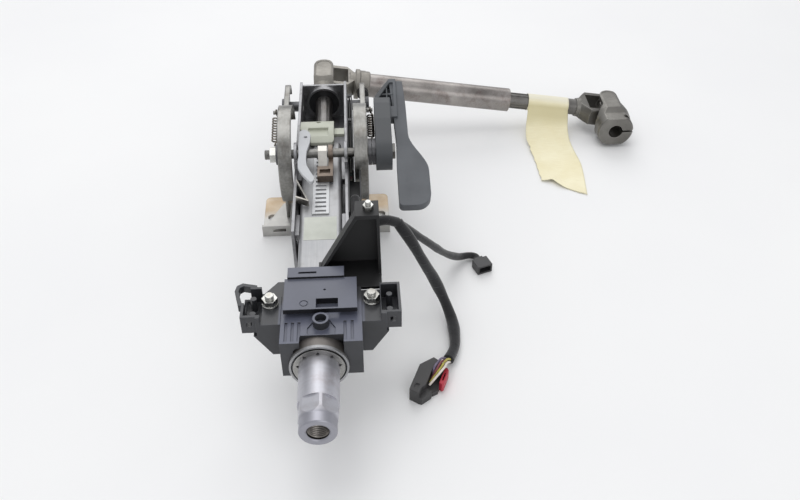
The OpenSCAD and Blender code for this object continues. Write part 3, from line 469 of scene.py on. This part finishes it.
black_plastic = plastic("black_plastic", srgb(17, 18, 20), srgb(34, 35, 38), (0.38, 0.56), srgb(74, 75, 78))
tower_plastic = plastic("tower_plastic", srgb(9, 9, 10), srgb(17, 17, 19), (0.38, 0.54), srgb(88, 89, 92))
# the lever's drum is coloured darker as painted shade
lever_plastic = plastic("lever_plastic", srgb(77, 80, 84), srgb(100, 103, 107), (0.46, 0.6),
                        srgb(122, 126, 130), edge_mm=1.2, inner=(DRUM_SHADE_END, srgb(68, 70, 72)))
connector_plastic = plastic("connector_plastic", srgb(42, 42, 43), srgb(68, 67, 67), (0.36, 0.5),
                            srgb(116, 115, 115))
green_plastic = plastic("green_plastic", srgb(182, 185, 169), srgb(205, 207, 193), (0.4, 0.55),
                        srgb(224, 225, 214), edge_mm=1.0)
grey_plastic = plastic("grey_plastic", srgb(178, 180, 183), srgb(204, 206, 208), (0.4, 0.55),
                       srgb(226, 227, 228), edge_mm=0.8)
red_plastic = plastic("red_plastic", srgb(150, 24, 44), srgb(190, 48, 66), (0.36, 0.5), srgb(214, 96, 108))
cloth_tape = cloth_tape_finish()
crepe_tape = crepe_finish()

LOOKS = {
    bracket_finish(): ["mounting_bracket"],
    plate_metal: ["left_side_plate", "right_side_plate"],
    pin_metal: ["pivot_pins", "fixed_cam", "moving_cam", "thrust_washer"],
    spring_wire: ["left_spring", "right_spring"],
    channel_metal: ["tilt_channel"],
    bearing_metal: ["rear_bearing", "front_bearing"],
    bolt_zinc: ["clamp_nut", "carrier_nuts", "tower_nut"],
    clamp_zinc: ["clamp_bolt"],
    green_plastic: ["guide_block"],
    grey_plastic: ["lock_arm"],
    clip_metal: ["spring_clip", "crash_strap"],
    black_plastic: ["wire_duct"],
    wire_set_finish(): ["duct_wires", "connector_wires"],
    lever_plastic: ["clamp_lever"],
    bronze: ["lock_pawl"],
    tube_metal: ["column_tube"],
    ladder_metal: ["ladder_strip"],
    label_finish(): ["label"],
    carrier_finish(): ["switch_carrier"],
    lid_finish(): ["carrier_lid"],
    tower_plastic: ["harness_tower"],
    cloth_tape: ["harness_trunk", "thick_branch", "thin_branch"],
    connector_plastic: ["large_connector", "small_connector"],
    red_plastic: ["connector_lock"],
    shaft_metal: ["wheel_shaft"],
    ring_metal: ["star_ring"],
    inner_metal: ["lower_shaft"],
    forged: ["shaft_yoke", "tube_yoke", "shaft_yoke_cups", "tube_yoke_cups"],
    joint_black: ["upper_cross", "pinch_bolt"],
    inter_drawn: ["inter_tube"],
    spline_metal: ["inter_shaft"],
    forged_dark: ["shaft_fork", "shaft_fork_cups", "lower_cross", "rack_yoke", "rack_yoke_cups"],
    crepe_tape: ["tape_flag", "tape_wrap"],
}
for look, names in LOOKS.items():
    for name in names:
        nodes[name].data.materials.clear()
        nodes[name].data.materials.append(look)


# meshes

def piece(name, verts, faces, material, body, uvs=None, smooth=True):
    """A mesh object that rides on a body, if one is named; uvs gives a pair for each corner of a face."""
    mesh = bpy.data.meshes.new(name)
    mesh.from_pydata([tuple(v) for v in verts], [], faces)
    mesh.materials.append(material)
    mesh.polygons.foreach_set("use_smooth", [smooth] * len(mesh.polygons))
    if uvs:
        layer = mesh.uv_layers.new(name="map")
        for loop, uv in zip(layer.data, (uv for face in uvs for uv in face)):
            loop.uv = uv
    obj = bpy.data.objects.new(name, mesh)
    bpy.context.scene.collection.objects.link(obj)
    if body:
        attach(obj, body)
    return obj


def smooth_route(points, steps=10):
    """Points in metres on the smooth curve through a route in millimetres."""
    p = [mm(*q) for q in points]
    line = []
    for i in range(len(p) - 1):
        a, b, c, d = p[max(i - 1, 0)], p[i], p[i + 1], p[min(i + 2, len(p) - 1)]
        for k in range(steps):
            t = k / steps
            line.append(0.5 * (2 * b + (c - a) * t + (2 * a - 5 * b + 4 * c - d) * t * t
                               + (3 * b - a - 3 * c + d) * t ** 3))
    return line + [p[-1]]


# how a tube's skin varies: swellings along it, and a finer unevenness of so many radii
LUMPS_PER_M = 46
LUMPS_AT = Vector((0, 7.3, 1.1))
SKIN_RADII = 2.5
SKIN_ROUND = 0.4


def tube(name, line, radius, material, body, slot, sides=20, wobble=0.0, lumps=0.0):
    """A closed round tube along a line, its map running along it in metres and once round it."""
    radius *= MM
    verts, faces, uvs = [], [], []
    along, aside = 0.0, None
    rows = []
    for i, point in enumerate(line):
        way = (line[min(i + 1, len(line) - 1)] - line[max(i - 1, 0)]).normalized()
        aside = way.orthogonal() if aside is None else aside - way * aside.dot(way)
        aside.normalize()
        other = way.cross(aside)
        along += (point - line[i - 1]).length if i else 0.0
        rows.append(along)
        swell = 1 + lumps * noise.noise(LUMPS_AT + Vector((along * LUMPS_PER_M, 0, 0)))
        for k in range(sides):
            a = 2 * math.pi * k / sides
            around = Vector((math.cos(a), math.sin(a), 0)) * SKIN_ROUND
            skin = noise.noise(point / (radius * SKIN_RADII) + around)
            r = radius * swell * (1 + wobble * skin)
            verts.append(point + aside * (r * math.cos(a)) + other * (r * math.sin(a)))
    for i in range(len(line) - 1):
        for k in range(sides):
            n = (k + 1) % sides
            faces.append((i * sides + k, i * sides + n, (i + 1) * sides + n, (i + 1) * sides + k))
            uvs.append([(rows[i], k / sides), (rows[i], (k + 1) / sides),
                        (rows[i + 1], (k + 1) / sides), (rows[i + 1], k / sides)])
    for end, ring in ((0, range(sides - 1, -1, -1)), (len(line) - 1, range(sides))):
        faces.append([end * sides + k for k in ring])
        uvs.append([(rows[end], k / sides) for k in ring])
    return piece(name, verts, faces, material, body, uvs)


# harness

def taped(name, node, line, radius, **skin):
    """A stretch of the harness in cloth tape, in place of its CAD node."""
    cord = tube(name, line, radius, cloth_tape, "reach_tube", "harness_tape", **skin)
    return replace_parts(cord, node)


trunk_line, thick_line, thin_line = smooth_route(TRUNK), smooth_route(THICK), smooth_route(THIN)
trunk = taped("taped_trunk", "harness_trunk", trunk_line, TRUNK_R, wobble=0.05)
thick = taped("taped_thick_branch", "thick_branch", thick_line, THICK_R, wobble=0.06, lumps=0.16)
thin = taped("taped_thin_branch", "thin_branch", thin_line, THIN_R, wobble=0.06, lumps=0.12)

WIRE_COLOURS = {
    "wire_violet": (srgb(132, 122, 146), srgb(92, 82, 104)),
    "wire_white": (srgb(236, 230, 222), srgb(196, 184, 172)),
    "wire_pink": (srgb(146, 80, 90), srgb(104, 58, 66)),
    "wire_yellow": (srgb(202, 192, 92), srgb(150, 134, 62)),
}


def from_connector(x, y, z):
    """A point of the large connector's own frame, in the part's frame, in millimetres."""
    cos, sin = math.cos(CONNECTOR_TURN), math.sin(CONNECTOR_TURN)
    return (CONNECTOR_AT[0] + x * cos - y * sin, CONNECTOR_AT[1] + x * sin + y * cos, z)


wires = []
for name, route in WIRES.items():
    line = smooth_route([from_connector(*q) for q in route], 8)
    finish = wire_finish(name, *WIRE_COLOURS[name])
    wires.append(tube(name, line, WIRE_R, finish, "reach_tube", "wire", sides=12))
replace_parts(wires[0], "connector_wires")


# tape flag: once round the shaft from below, over the top and down in front to the table

# its two edges along the shaft, where it leaves the shaft in front, and its free rows, in millimetres
FLAG_L, FLAG_R = 220, INTER_LEN - 45.5
FLAG_OFF = 0.9
FLAG_Y = JOINT_Y - SPLINE_R - FLAG_OFF
FLAG_ZL, FLAG_ZR = AXIS_Z - FLAG_L * math.sin(FALL), AXIS_Z - FLAG_R * math.sin(FALL)
FLAG_XL, FLAG_XR = FLAG_L * math.cos(FALL), FLAG_R * math.cos(FALL)
FLAG_ROWS = [
    ((FLAG_XL, FLAG_Y, FLAG_ZL), (FLAG_XR, FLAG_Y, FLAG_ZR)),
    ((FLAG_XL - 0.5, FLAG_Y - 4, FLAG_ZL - 9), (FLAG_XR, FLAG_Y - 4, FLAG_ZR - 8)),
    ((FLAG_XL - 2, FLAG_Y - 10, 11), (FLAG_XR - 0.5, FLAG_Y - 11, 10)),
    ((FLAG_XL - 2.5, FLAG_Y - 22, 4.5), (FLAG_XR - 0.5, FLAG_Y - 24, 4)),
    ((FLAG_XL - 2, FLAG_Y - 43, 2.2), (FLAG_XR + 1.5, FLAG_Y - 44, 1.6)),
    ((FLAG_XL - 0.5, FLAG_Y - 60, 1), (FLAG_XR + 3, FLAG_Y - 72, 1.2)),
    ((FLAG_XL, FLAG_Y - 92, 0.9), (FLAG_XR - 2, FLAG_Y - 119, 0.9)),
]
TAPE_WIDE = 0.045
ACROSS = 28

# the turn round the shaft: rows, start and extent in degrees, and its place above the shaft's skin
WRAP_ROWS = 30
WRAP_FROM, WRAP_EXTENT = -172, 352
WRAP_LIFT, WRAP_RISE = 0.3, 0.5

# relief of the free end in millimetres, and the number of rows that it takes to grow
RIPPLE, RIM_LIFT, TIP_CURL = 0.5, 1.1, 3.2
STUCK_ROWS, FREE_ROWS, TIP_ROWS = 4, 14, 9
LOWEST = 0.25
TAPE_THICK = 0.12

# places, widths and depths of its waves and tears, as shares of its width or of its free length
RIPPLES_ACROSS, RIPPLES_PER_M = 3.1, 42
RIM_FROM = 0.75
CURL_AT, CURL_WIDE = 0.3, 0.22
BITE_AT, BITE_WIDE, BITE_DEPTH = 0.24, 0.13, 0.024
FIBRES, FIBRE_DEPTH = 21, 0.006
RAGS, RAG_DEPTH = 34, 0.03
RAG_FROM, RAG_GROWS = 0.5, 0.06
RAG_FADES = 8


def bell(t, middle, width):
    """A smooth hump of height 1."""
    return math.exp(-((t - middle) / width) ** 2)


def torn_share(t):
    """How much of the free length is left at a share t of the width: a bite and small fibres."""
    fibre = FIBRE_DEPTH * noise.noise(Vector((t * FIBRES, 0.5, 0.5)))
    return 1 - BITE_DEPTH * bell(t, BITE_AT, BITE_WIDE) - fibre


def ragged_share(free_share):
    """How far the left edge is torn inward, as a share of the width, along the free length."""
    torn = min(max((free_share - RAG_FROM) / RAG_GROWS, 0.0), 1.0)
    return torn * RAG_DEPTH * (1 + noise.noise(Vector((free_share * RAGS, 3.5, 0.5))))


def shaft_point(along, turn, radius):
    """A point in millimetres round the inclined shaft, turn counted from its rear side over the top."""
    up = Vector((math.sin(FALL), 0, math.cos(FALL)))
    out = up * math.sin(turn) + Vector((0, 1, 0)) * math.cos(turn)
    return Vector((along * math.cos(FALL), JOINT_Y, AXIS_Z - along * math.sin(FALL))) + out * radius


def tape_rows():
    """The left and right end of each row of the tape, in metres, from its start to its torn end."""
    rows = []
    for k in range(WRAP_ROWS):
        turn = math.radians(WRAP_FROM + WRAP_EXTENT * k / WRAP_ROWS)
        radius = SPLINE_R + WRAP_LIFT + WRAP_RISE * k / WRAP_ROWS
        rows.append((shaft_point(FLAG_L, turn, radius) * MM, shaft_point(FLAG_R, turn, radius) * MM))
    edges = [smooth_route([row[side] for row in FLAG_ROWS]) for side in (0, 1)]
    return rows + list(zip(*edges))


def tape_flag():
    """The tape as one thin sheet, mapped across and along in metres."""
    rows = tape_rows()
    last = len(rows) - 1
    lengths = [0.0]
    for (a, b), (c, d) in zip(rows, rows[1:]):
        lengths.append(lengths[-1] + ((c - a).length + (d - b).length) / 2)
    verts, faces, uvs = [], [], []
    for i in range(len(rows)):
        ragged = ragged_share((i - WRAP_ROWS) / (last - WRAP_ROWS))
        free = min(max((i - WRAP_ROWS - STUCK_ROWS) / FREE_ROWS, 0.0), 1.0)
        tip = max(0.0, (i - last + TIP_ROWS) / TIP_ROWS)
        for k in range(ACROSS + 1):
            t = k / ACROSS
            spot = i if i <= WRAP_ROWS else WRAP_ROWS + (i - WRAP_ROWS) * torn_share(t)
            low = min(int(spot), last - 1)
            a, b = (rows[low][side].lerp(rows[low + 1][side], spot - low) for side in (0, 1))
            point = a.lerp(b, t + (1 - t) ** RAG_FADES * ragged)
            ripple = RIPPLE * noise.noise(Vector((t * RIPPLES_ACROSS, lengths[i] * RIPPLES_PER_M, 2.0)))
            rim = RIM_LIFT * max(0, abs(2 * t - 1) - RIM_FROM)
            curl = TIP_CURL * tip ** 2 * bell(t, CURL_AT, CURL_WIDE)
            point.z = max(point.z + MM * (free * (ripple + rim) + curl), LOWEST * MM)
            verts.append(point)
    wide = ACROSS + 1
    for i in range(last):
        for k in range(ACROSS):
            faces.append((i * wide + k, i * wide + k + 1, (i + 1) * wide + k + 1, (i + 1) * wide + k))
            left, right = k / ACROSS * TAPE_WIDE, (k + 1) / ACROSS * TAPE_WIDE
            uvs.append([(left, lengths[i]), (right, lengths[i]),
                        (right, lengths[i + 1]), (left, lengths[i + 1])])
    sheet = piece("tape_sheet", verts, faces, crepe_tape, "inter_shaft", uvs)
    paper = sheet.modifiers.new("paper", "SOLIDIFY")
    paper.thickness, paper.offset = TAPE_THICK * MM, 0.0
    return sheet


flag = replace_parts(tape_flag(), "tape_flag", "tape_wrap")


# balance springs: an eye round the plate's post, close coils and a straight end towards the clamp bolt

# post, eye in millimetres and degrees, coils, their distance from both ends, and the straight end
POST_Y, POST_T = 22, 40
EYE_R, EYE_FROM, EYE_EXTENT, EYE_LEAN = 2.45, -150, 320, 0.03
COILS, STEPS = 9, 24
COIL_FROM, COIL_TO = 7, 5
STRAIGHT_END = ((3.4, 0.8), (1.6, 0.1), (0, 0))
SPRING_WIRE_R = 0.75
SPRING_OUT = 3.5


def balance_spring(name, node, x, clear):
    """A tension spring that follows the post at one end and the channel at the other."""
    top, low = Vector((POST_Y, AXIS_Z + POST_T)), Vector((BOLT_Y, AXIS_Z + BOLT_T))
    down = (low - top).normalized()
    across = Vector((-down.y, down.x))
    start, end = top + down * COIL_FROM, low - down * (clear + COIL_TO)
    route = []
    for k in range(STEPS + 1):
        a = math.radians(EYE_FROM + EYE_EXTENT * k / STEPS)
        q = top - down * (EYE_R * math.cos(a)) + across * (EYE_R * math.sin(a))
        route.append((x + EYE_LEAN * k, q.x, q.y))
    for k in range(COILS * STEPS + 1):
        a = 2 * math.pi * k / STEPS
        q = start.lerp(end, k / (COILS * STEPS)) + across * (SPRING_R * math.sin(a))
        route.append((x + SPRING_R * math.cos(a), q.x, q.y))
    for reach, offset in STRAIGHT_END:
        q = low - down * (clear + reach)
        route.append((x + offset, q.x, q.y))
    line = [mm(*q) for q in route]
    spring = tube(name, line, SPRING_WIRE_R, spring_wire, None, "spring_steel", sides=10)
    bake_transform(spring)
    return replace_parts(spring, node)


balance_spring("left_coil", "left_spring", -WEB_L - SPRING_OUT, clear=10.5)
balance_spring("right_coil", "right_spring", WEB_R + SPRING_OUT, clear=13.5)


# screw threads: fine ridges winding in the wheel bore and on the free bolt ends

# steps of a turn, how deep a ridge's foot is sunk in millimetres, and half of it as a share of the pitch
RIDGE_STEPS = 32
RIDGE_SUNK = 0.05
RIDGE_HALF = 0.46


def thread(name, origin, axis, radius, pitch, turns, depth, body, material):
    """A ridge winding along an axis from a point, in millimetres; a negative depth points inward."""
    axis = Vector(axis)
    first = axis.orthogonal().normalized()
    second = axis.cross(first)
    verts, faces = [], []
    count = int(turns * RIDGE_STEPS)
    foot = radius - math.copysign(RIDGE_SUNK, depth)
    for i in range(count + 1):
        a = 2 * math.pi * i / RIDGE_STEPS
        out = first * math.cos(a) + second * math.sin(a)
        for r, shift in ((foot, -RIDGE_HALF), (radius + depth, 0), (foot, RIDGE_HALF)):
            verts.append(mm(*(Vector(origin) + axis * (pitch * (i / RIDGE_STEPS + shift)) + out * r)))
    for i in range(count):
        b = 3 * i
        faces += [(b, b + 1, b + 4, b + 3), (b + 1, b + 2, b + 5, b + 4), (b + 2, b, b + 3, b + 5)]
    faces += [(2, 1, 0), (len(verts) - 3, len(verts) - 2, len(verts) - 1)]
    return piece(name, verts, faces, material, body, smooth=False)


# where the threads start
BORE_START_Y = WHEEL_Y + 2.2
BOLT_END_X = -WEB_L - 11.2
STUD_X = {"left": -34.5, "right": 38.4}
STUD_Y, STUD_T = -207, 26.4
TOWER_STUD = (38.3, -157.5, AXIS_Z + 69.3)

thread("wheel_thread", (0, BORE_START_Y, AXIS_Z), (0, 1, 0), THREAD_R, pitch=1.5, turns=13,
       depth=-0.7, body="wheel_shaft", material=thread_metal)
thread("clamp_bolt_thread", (BOLT_END_X, BOLT_Y, AXIS_Z + BOLT_T), (1, 0, 0), radius=4, pitch=1.25,
       turns=3, depth=0.3, body="channel", material=clamp_zinc)
for side, x in STUD_X.items():
    thread(side + "_stud_thread", (x, STUD_Y, AXIS_Z + STUD_T), (0, 0, 1), radius=3, pitch=1,
           turns=2.2, depth=0.25, body="reach_tube", material=bolt_zinc)
thread("tower_stud_thread", TOWER_STUD, (0, 0, 1), radius=2, pitch=0.7, turns=3.2, depth=0.2,
       body="reach_tube", material=bolt_zinc)


# stage, light and camera, in metres and degrees

TABLE_HALF = 6
TABLE_DROP = 0.05 * MM
SKY_COLOUR, SKY_STRENGTH = (0.96, 0.97, 1.0, 1), 0.62
CAMERA_AT = (0.0332, -0.6505, 0.512)
CAMERA_TILT, CAMERA_YAW = 49.5, -3.31
LENS, SENSOR = 38.25, 36


def stage_finish():
    """Nearly white table top, kept below clipping."""
    paint = Paint("table_white", specular=0.2)
    clouds = paint.noise(3, 3)
    return paint.finish(paint.ramp(clouds, (0.3, srgb(239, 239, 239)), (0.7, srgb(243, 243, 242))), 0.6)


corners = [(x * TABLE_HALF, y * TABLE_HALF, 0) for x, y in ((-1, -1), (1, -1), (1, 1), (-1, 1))]
floor_mesh = bpy.data.meshes.new("table")
floor_mesh.from_pydata(corners, [], [(0, 1, 2, 3)])
floor_mesh.materials.append(stage_finish())
table = bpy.data.objects.new("table", floor_mesh)
table.location.z = -TABLE_DROP
bpy.context.scene.collection.objects.link(table)


def area_light(name, location, target, size, power):
    """A round lamp that faces a point."""
    lamp = bpy.data.lights.new(name, "AREA")
    lamp.shape, lamp.size, lamp.energy = "DISK", size, power
    obj = bpy.data.objects.new(name, lamp)
    obj.location = location
    obj.rotation_euler = (Vector(target) - Vector(location)).to_track_quat("-Z", "Y").to_euler()
    bpy.context.scene.collection.objects.link(obj)


area_light("overhead", (-0.3, 0.1, 1.9), (0.05, 0, 0), size=1.6, power=11)
area_light("back_softbox", (0.1, 2.3, 1.95), (0.05, 0, 0.05), size=2.4, power=24)
area_light("front_fill", (0.6, -1.6, 1.1), (0.05, -0.1, 0.05), size=1.2, power=5)

world = bpy.data.worlds.new("studio")
world.use_nodes = True
sky = world.node_tree.nodes["Background"].inputs
sky["Color"].default_value = SKY_COLOUR
sky["Strength"].default_value = SKY_STRENGTH
bpy.context.scene.world = world
bpy.context.scene.view_settings.view_transform = "Standard"

camera = bpy.data.objects.new("camera", bpy.data.cameras.new("camera"))
camera.location = CAMERA_AT
camera.rotation_euler = (math.radians(CAMERA_TILT), 0, math.radians(CAMERA_YAW))
camera.data.lens, camera.data.sensor_width = LENS, SENSOR
camera.data.clip_start, camera.data.clip_end = 0.01, 50
bpy.context.scene.collection.objects.link(camera)
bpy.context.scene.camera = camera
